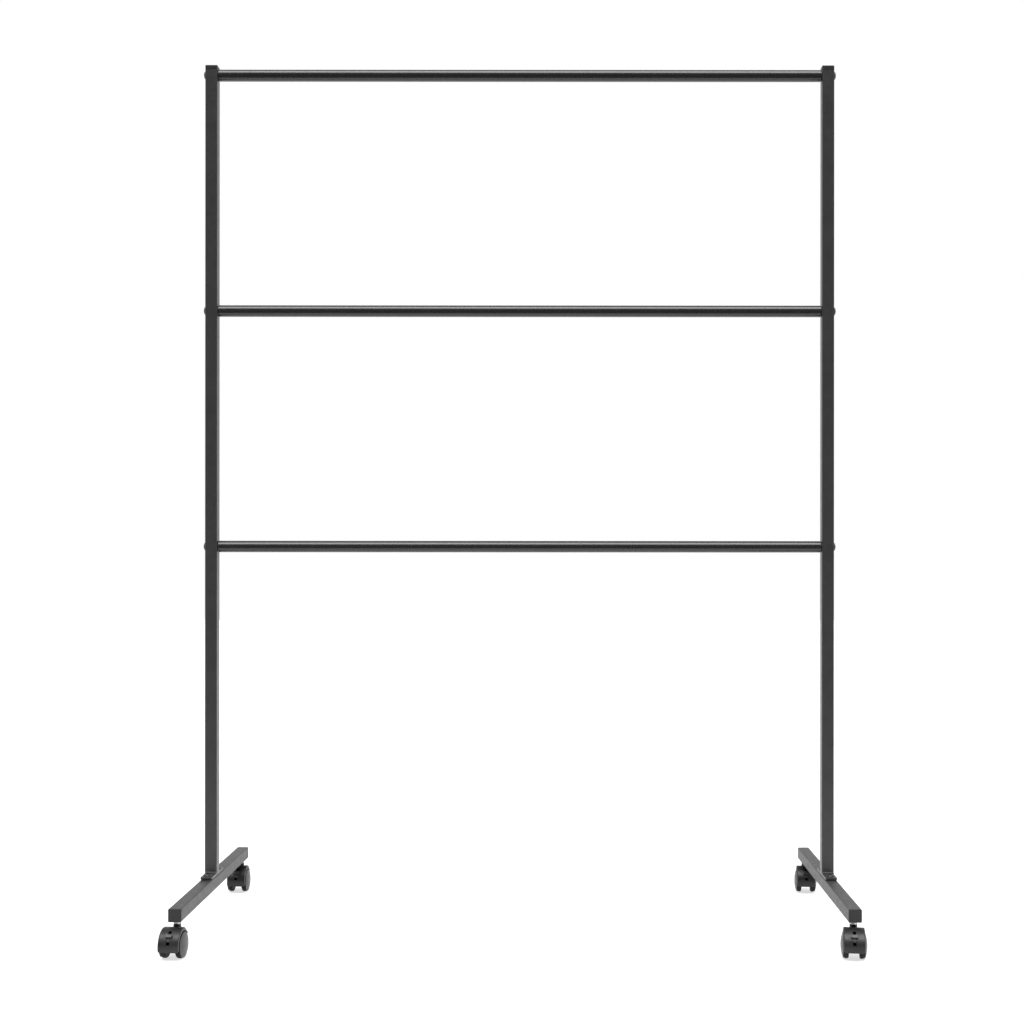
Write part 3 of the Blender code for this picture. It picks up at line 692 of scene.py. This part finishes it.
# ------------------------------------------------------------------ caster stems and rivet nuts
# A rivet nut pressed into each leg's underside holds the caster's stem, a zinc-plated turned
# pin with a hexagon that shows as a bright band between the leg and the caster.
STEM_HEX = 0.013
STEM_HEX_LOW = 0.0594
STEM_SHANK = 0.0039
STEM_CHAMFER = 0.0008
SPINDLE = 0.005
SPINDLE_BOTTOM = 0.034
GROOVE_DEPTH = 0.0006
NUT_FLANGE = 0.001
NUT_FLANGE_RADIUS = 0.0075
NUT_RADIUS = 0.0056
NUT_DEPTH = 0.016
NUT_BORE = 0.0043
NUT_EASE = 0.0003
CLEARANCE = 0.0003
zinc = coated("zinc_plated_steel", (0.40, 0.405, 0.41), (0.55, 0.555, 0.56), (0.22, 0.36),
              700.0, 0.00001, metallic=1.0)
LEG_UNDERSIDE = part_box("left_leg")[0][2]
STEM_HEX_HIGH = LEG_UNDERSIDE - NUT_FLANGE - 3 * CLEARANCE


def stem_master():
    """A stem on the Z axis: shank, chamfered hexagon and grooved spindle."""
    top = LEG_UNDERSIDE + NUT_DEPTH - 2 * CLEARANCE
    corner = STEM_HEX / 2 / math.cos(math.pi / 6)
    inset, slant = corner - STEM_CHAMFER, STEM_CHAMFER / 2
    flats = turned([(0, STEM_HEX_LOW), (inset, STEM_HEX_LOW), (corner, STEM_HEX_LOW + slant),
                    (corner, STEM_HEX_HIGH - slant), (inset, STEM_HEX_HIGH),
                    (0, STEM_HEX_HIGH)], 48)
    flats = combined(flats, hexagon(STEM_HEX, 0, 2 * STEM_HEX_HIGH), "INTERSECT")
    groove = SPINDLE_BOTTOM + 0.003
    neck = SPINDLE - GROOVE_DEPTH
    pin = [(0, top), (STEM_SHANK - 0.0005, top), (STEM_SHANK, top - 0.0005),
           (STEM_SHANK, STEM_HEX_LOW + 0.001), (SPINDLE, STEM_HEX_LOW + 0.001),
           (SPINDLE, groove + 0.0012), (neck, groove + 0.0009), (neck, groove + 0.0003),
           (SPINDLE, groove), (SPINDLE, SPINDLE_BOTTOM), (0, SPINDLE_BOTTOM)]
    return combined(turned(pin, 48), flats, "UNION")


def rivet_nut_master():
    """A rivet nut on the Z axis, its flange under the leg."""
    face = LEG_UNDERSIDE - CLEARANCE
    under = face - NUT_FLANGE
    ease = NUT_EASE
    profile = [(NUT_BORE, face + NUT_DEPTH), (NUT_RADIUS - ease, face + NUT_DEPTH),
               (NUT_RADIUS, face + NUT_DEPTH - ease), (NUT_RADIUS, face),
               (NUT_FLANGE_RADIUS - ease, face), (NUT_FLANGE_RADIUS, face - ease),
               (NUT_FLANGE_RADIUS, under + ease), (NUT_FLANGE_RADIUS - ease, under),
               (NUT_BORE + ease, under), (NUT_BORE, under + ease),
               (NUT_BORE, face + NUT_DEPTH)]
    return turned(profile, 48)


CORNERS = [(end, side) for end in ENDS for side in SIDES]
stem_seats = []
for end, side in CORNERS:
    place = middle_of(f"{end}_{side}_stem")
    stem_seats.append(((place.x, place.y, 0), (0, 0, 1)))
piece_of("caster_stems", copies("caster_stems", stem_master(), stem_seats, zinc, math.pi, 3),
         zinc, "frame", [f"{end}_{side}_stem" for end, side in CORNERS])
piece_of("rivet_nuts", copies("rivet_nuts", rivet_nut_master(), stem_seats, zinc), zinc,
         "frame", [f"{end}_{side}_rivet_nut" for end, side in CORNERS])

# ------------------------------------------------------------------ caster bodies
# One moulded body makes a caster's middle web, the round hood over both wheels and the stem's
# collar. The hood slopes down behind the axle, and a slot down its front holds the brake lever.
TRAIL = 0.020
AXLE_HEIGHT = 0.025
AXLE_BORE = 0.0033
HOOD_RADIUS = 0.0322
HOOD_INNER = 0.0264
HOOD_WIDTH = 0.0397
HOOD_REAR_ANGLE = 142.0      # where the hood ends behind the axle, in degrees above the front
HOOD_SLOPE_ANGLE = 130.0     # which way the hood's flat sloping rear faces
HOOD_SLOPE = 0.0280          # how far that flat is from the axle
HOOD_CORNER = 0.0028         # how much is taken off the hood's lower outer corners
HOOD_RIM = 0.0021
HOOD_LIP = 0.0005
WEB_WIDTH = 0.0195
WEB_STEP = 0.00005           # how much thinner the web is where no hood covers it
WEB_FILLET = 0.001
WEB_BOTTOM = 0.0165
SLIVER = 0.00003             # edges shorter than this are left over from a cut
COLLAR_RADIUS = 0.0073
COLLAR_TOP = 0.059
COLLAR_EASE = 0.0007
COLLAR_FLARE = 0.0022
FLARE_START = 0.0515
FUNNEL_WIDTH = 0.0012
FUNNEL_DEPTH = 0.0014
SPINDLE_BORE = 0.0053
SLOT_WIDTH = 0.0064
SLOT_ANGLES = (10.5, 61.5)
SLOT_FLOOR = 0.013
PIVOT_ANGLE = 35.25
PIVOT_PLACE = 0.024
PIVOT_RADIUS = 0.0015
PIVOT_LENGTH = 0.0130
caster_plastic = coated("moulded_caster_plastic", (0.008, 0.008, 0.0083),
                        (0.015, 0.015, 0.0154), (0.34, 0.44), 1300.0, 0.00004, specular=0.42)
TO_X = Matrix.Rotation(math.pi / 2, 4, "Y")
AT_AXLE = Matrix.Translation((0, -TRAIL, AXLE_HEIGHT))


def polar(radius, angle):
    """Across and height of a point about the axle, its angle in degrees above the front."""
    turn = math.radians(angle)
    return (-TRAIL - radius * math.cos(turn), AXLE_HEIGHT + radius * math.sin(turn))


def wedge(width, inner, outer, angles, edge=0.0):
    """A curved block about the axle, between two radii and two angles."""
    steps = 16
    turns = [angles[0] + (angles[1] - angles[0]) * i / steps for i in range(steps + 1)]
    rim = [polar(inner, a) for a in turns] + [polar(outer, a) for a in reversed(turns)]
    shape = bmesh.new()
    face = shape.faces.new([shape.verts.new((-width / 2, y, z)) for y, z in rim])
    grown = bmesh.ops.extrude_face_region(shape, geom=[face])
    moved = [v for v in grown["geom"] if isinstance(v, bmesh.types.BMVert)]
    bmesh.ops.translate(shape, verts=moved, vec=(width, 0, 0))
    bmesh.ops.recalc_face_normals(shape, faces=shape.faces)
    if edge:
        sharp = [e for e in shape.edges if e.calc_face_angle() > math.radians(60)]
        bmesh.ops.bevel(shape, geom=sharp, offset=edge, segments=3, profile=0.5, affect="EDGES")
    return mesh_of(shape)


def hood_ring():
    """The web and hood all the way round the axle, with a rounded rim on each side."""
    edge, web = HOOD_WIDTH / 2, WEB_WIDTH / 2
    root = HOOD_INNER - WEB_FILLET
    half = [(AXLE_BORE, web), (root, web)]
    half += arc((root, web + WEB_FILLET), WEB_FILLET, -90, 0, 4)
    half += arc((HOOD_INNER + HOOD_LIP, edge - HOOD_LIP), HOOD_LIP, 180, 90, 4)
    half += arc((HOOD_RADIUS - HOOD_RIM, edge - HOOD_RIM), HOOD_RIM, 90, 0, 8)
    other = [(radius, -across) for radius, across in reversed(half)]
    ring = turned(half + other + [half[0]], 144)
    ring.transform(AT_AXLE @ TO_X)
    return ring


def collar():
    """The stem's collar: a flare out of the hood, a straight neck and a funnel top."""
    foot = COLLAR_RADIUS + COLLAR_FLARE
    profile = [(0, AXLE_HEIGHT), (foot, AXLE_HEIGHT), (foot, FLARE_START)]
    profile += arc((foot, FLARE_START + COLLAR_FLARE), COLLAR_FLARE, 270, 180, 6)
    profile += arc((COLLAR_RADIUS - COLLAR_EASE, COLLAR_TOP - COLLAR_EASE), COLLAR_EASE, 0, 90, 4)
    profile += [(COLLAR_RADIUS - FUNNEL_WIDTH, COLLAR_TOP),
                (SPINDLE_BORE, COLLAR_TOP - FUNNEL_DEPTH), (0, COLLAR_TOP - FUNNEL_DEPTH)]
    return turned(profile, 64)


def plain_block(low, high):
    """A box with sharp edges."""
    low, high = Vector(low), Vector(high)
    shape = bmesh.new()
    place = Matrix.Translation((low + high) / 2) @ Matrix.Diagonal((*(high - low), 1))
    bmesh.ops.create_cube(shape, size=1.0, matrix=place)
    return mesh_of(shape)


def cleaned(mesh):
    """The mesh with the slivers that its cuts leave merged away."""
    shape = bmesh.new()
    shape.from_mesh(mesh)
    bmesh.ops.remove_doubles(shape, verts=shape.verts, dist=SLIVER)
    bmesh.ops.dissolve_degenerate(shape, edges=shape.edges, dist=SLIVER)
    return mesh_of(shape)


def caster_body_master():
    """A caster body with its stem on the Z axis and its hood to the front."""
    body = combined(hood_ring(), collar(), "UNION")
    far = 3 * HOOD_RADIUS
    for sign in SIDES.values():
        rear = wedge(far, HOOD_INNER - 3 * WEB_FILLET, far, (HOOD_REAR_ANGLE, 270))
        rear.transform(Matrix.Translation((sign * (far + WEB_WIDTH - 2 * WEB_STEP) / 2, 0, 0)))
        body = combined(body, rear, "DIFFERENCE")
        inner, outer = sorted((sign * (WEB_WIDTH / 2 + WEB_STEP), sign * far))
        slope = plain_block((inner, -far, HOOD_SLOPE), (outer, far, far))
        slope.transform(AT_AXLE @ Matrix.Rotation(math.radians(90 - HOOD_SLOPE_ANGLE), 4, "X"))
        body = combined(body, slope, "DIFFERENCE")
        half = HOOD_CORNER / math.sqrt(2)
        corner = plain_block((-half, -far, -half), (half, far, half))
        corner.transform(Matrix.Translation((sign * HOOD_WIDTH / 2, 0, WEB_BOTTOM))
                         @ Matrix.Rotation(math.pi / 4, 4, "Y"))
        body = combined(body, corner, "DIFFERENCE")
    reach = PIVOT_LENGTH / 2 + CLEARANCE
    pivot = polar(PIVOT_PLACE, PIVOT_ANGLE)
    for cut in (plain_block((-far, -far, -far), (far, far, WEB_BOTTOM)),
                rod(SPINDLE_BORE, (0, 0, SPINDLE_BOTTOM - CLEARANCE), (0, 0, far), 48),
                wedge(SLOT_WIDTH, SLOT_FLOOR, far, SLOT_ANGLES),
                rod(PIVOT_RADIUS + CLEARANCE, (-reach, *pivot), (reach, *pivot))):
        body = combined(body, cut, "DIFFERENCE")
    return cleaned(body)


def at_caster(master, end, side):
    """A copy of a master placed on one swivel axis and turned the way its caster trails."""
    roll = next(j for j in frame["joints"] if j["name"] == f"{end}_{side}_left_wheel_roll")
    turn = math.atan2(roll["axis"][1], roll["axis"][0])
    stem = middle_of(f"{end}_{side}_stem")
    mesh = master.copy()
    mesh.transform(Matrix.Translation((stem.x, stem.y, 0)) @ Matrix.Rotation(turn, 4, "Z"))
    return mesh


caster_body = caster_body_master()
for end, side in CORNERS:
    piece_of(f"{end}_{side}_hooded_body", at_caster(caster_body, end, side), caster_plastic,
             f"{end}_{side}_caster", [f"{end}_{side}_caster_body"])

# ------------------------------------------------------------------ wheels
# Each wheel is a black tread with rounded shoulders and a domed cover of harder, greyer
# plastic, which stands proud of it. The tread's black is deeper than the plastic's own and also
# runs up the cover's side wall in the seam, so the gap under the hood rim reads black: partly
# the tread's real colour, partly painted shade. It turns on the axle by a blind bore.
WHEEL_RADIUS = 0.025
WHEEL_INNER = 0.0101
WHEEL_EDGE = 0.0188
WHEEL_CROWN = 0.0248
WHEEL_BORE_END = 0.0215
TREAD_SHOULDER = 0.0026
TREAD_SHOULDER_END = 50.0    # how far its outer shoulder turns before the seam
COVER_RADIUS = 0.0236
COVER_EDGE = 0.0206
COVER_EASE = 0.0003
SEAM_WIDTH = 0.0003
SEAM_DEPTH = 0.0032
cover_plastic = coated("moulded_cover_plastic", (0.032, 0.032, 0.033), (0.045, 0.045, 0.046),
                       (0.36, 0.46), 1100.0, 0.00003)
# Tread black made darker than the plastic alone: its real colour plus painted shade for the gap
# under the hood rim.
tread_black_and_painted_gap_shade = coated("moulded_tread_black_and_painted_gap_shade", (0.004, 0.004, 0.0041), (0.009, 0.009, 0.0092),
                       (0.5, 0.64), 800.0, 0.00006, specular=0.2)


def wheel_master(sign):
    """A wheel on the axle of a caster, its domed cover outwards."""
    rise = WHEEL_CROWN - COVER_EDGE
    dome = (COVER_RADIUS ** 2 + rise ** 2) / (2 * rise)
    spread = math.degrees(math.asin(COVER_RADIUS / dome))
    tread, seam = WHEEL_RADIUS - TREAD_SHOULDER, COVER_EDGE - SEAM_DEPTH
    profile = [(0, WHEEL_BORE_END), (AXLE_BORE, WHEEL_BORE_END), (AXLE_BORE, WHEEL_INNER)]
    profile += arc((tread, WHEEL_INNER + TREAD_SHOULDER), TREAD_SHOULDER, -90, 0, 8)
    profile += arc((tread, WHEEL_EDGE - TREAD_SHOULDER), TREAD_SHOULDER, 0,
                   TREAD_SHOULDER_END, 8)
    profile += [(COVER_RADIUS + SEAM_WIDTH, seam), (COVER_RADIUS, seam),
                (COVER_RADIUS, COVER_EDGE - COVER_EASE)]
    profile += arc((0, WHEEL_CROWN - dome), dome, 90 - spread, 90, 14)
    wheel = turned(profile, 128)
    # Faces below the cover's rim, the cover's side wall in the seam included, take the tread's
    # black: painted shade in the gap beside the hood.
    for face in wheel.polygons:
        face.material_index = int(face.center.z < COVER_EDGE - COVER_EASE)
    wheel.transform(AT_AXLE @ Matrix.Rotation(sign * math.pi / 2, 4, "Y"))
    return wheel


wheels = {which: wheel_master(sign) for which, sign in SIDES.items()}
for end, side in CORNERS:
    for which, wheel in wheels.items():
        piece_of(f"{end}_{side}_{which}_cover_wheel", at_caster(wheel, end, side),
                 (cover_plastic, tread_black_and_painted_gap_shade), f"{end}_{side}_{which}_wheel",
                 [f"{end}_{side}_{which}_wheel"])

# ------------------------------------------------------------------ brake levers
# A moulded lever rocks on a pin in each hood's slot. Its tab stands in front of the hood, and
# pressing it down drives the toe inside against the wheels.
LEVER_ANGLES = (21.0, 47.0)
LEVER_NECK = 0.0056
LEVER_EASE = 0.0004
LEVER_INNER = 0.019
LEVER_OUTER = 0.0324
LEVER_TOE = 0.0155
LEVER_TOE_THICK = 0.005
LEVER_TOE_EDGE = 0.0006
STALK_EDGE = 0.0005
TAB_ANGLE = 39.5
TAB_WIDTH = 0.0135
TAB_HEIGHT = 0.0072
TAB_RADIUS = 0.0329
TAB_THICK = 0.0038
TAB_CORNER = 0.0019
TAB_EDGE = 0.0011
TAB_OVERLAP = 0.0012         # how far the stalk goes into the tab
lever_plastic = coated("moulded_lever_plastic", (0.02, 0.02, 0.0205), (0.03, 0.03, 0.031),
                       (0.34, 0.44), 1500.0, 0.00002)


def radial_block(width, height, inner, outer, angle, corner, edge):
    """A straight block pointing away from the axle at an angle above the front."""
    shape = rounded_block((-width / 2, -height / 2, inner), (width / 2, height / 2, outer), 2,
                          corner, edge)
    shape.transform(AT_AXLE @ Matrix.Rotation(math.radians(90 - angle), 4, "X"))
    return shape


def lever_master():
    """A brake lever in its caster: rocker, toe, stalk, tab and pin."""
    neck = LEVER_NECK - LEVER_EASE
    lever = wedge(LEVER_NECK, LEVER_INNER, LEVER_OUTER, LEVER_ANGLES, LEVER_EASE)
    toe = radial_block(neck, LEVER_TOE_THICK, LEVER_TOE, LEVER_INNER + LEVER_TOE_THICK,
                       PIVOT_ANGLE, LEVER_TOE_EDGE, LEVER_TOE_EDGE)
    stalk = radial_block(neck, TAB_HEIGHT - TAB_OVERLAP, LEVER_OUTER - TAB_THICK,
                         TAB_RADIUS + TAB_OVERLAP, TAB_ANGLE, STALK_EDGE, STALK_EDGE)
    tab = radial_block(TAB_WIDTH, TAB_HEIGHT, TAB_RADIUS, TAB_RADIUS + TAB_THICK, TAB_ANGLE,
                       TAB_CORNER, TAB_EDGE)
    pivot = polar(PIVOT_PLACE, PIVOT_ANGLE)
    pin = rod(PIVOT_RADIUS, (-PIVOT_LENGTH / 2, *pivot), (PIVOT_LENGTH / 2, *pivot))
    for part in (toe, stalk, tab, pin):
        lever = combined(lever, part, "UNION")
    return cleaned(lever)


lever = lever_master()
for end, side in CORNERS:
    piece_of(f"{end}_{side}_rocker_lever", at_caster(lever, end, side), lever_plastic,
             f"{end}_{side}_brake", [f"{end}_{side}_brake_lever"])

# ------------------------------------------------------------------ axles and nut strips
# The axles run hidden through web and wheels, and a tapped strip inside each leg takes the
# foot screws. Both are plain zinc-plated steel.
for node in [f"{end}_{side}_axle" for end, side in CORNERS] + [f"{s}_nut_strip" for s in SIDES]:
    inner = frame["nodes"][node]
    inner.data.materials.clear()
    inner.data.materials.append(zinc)
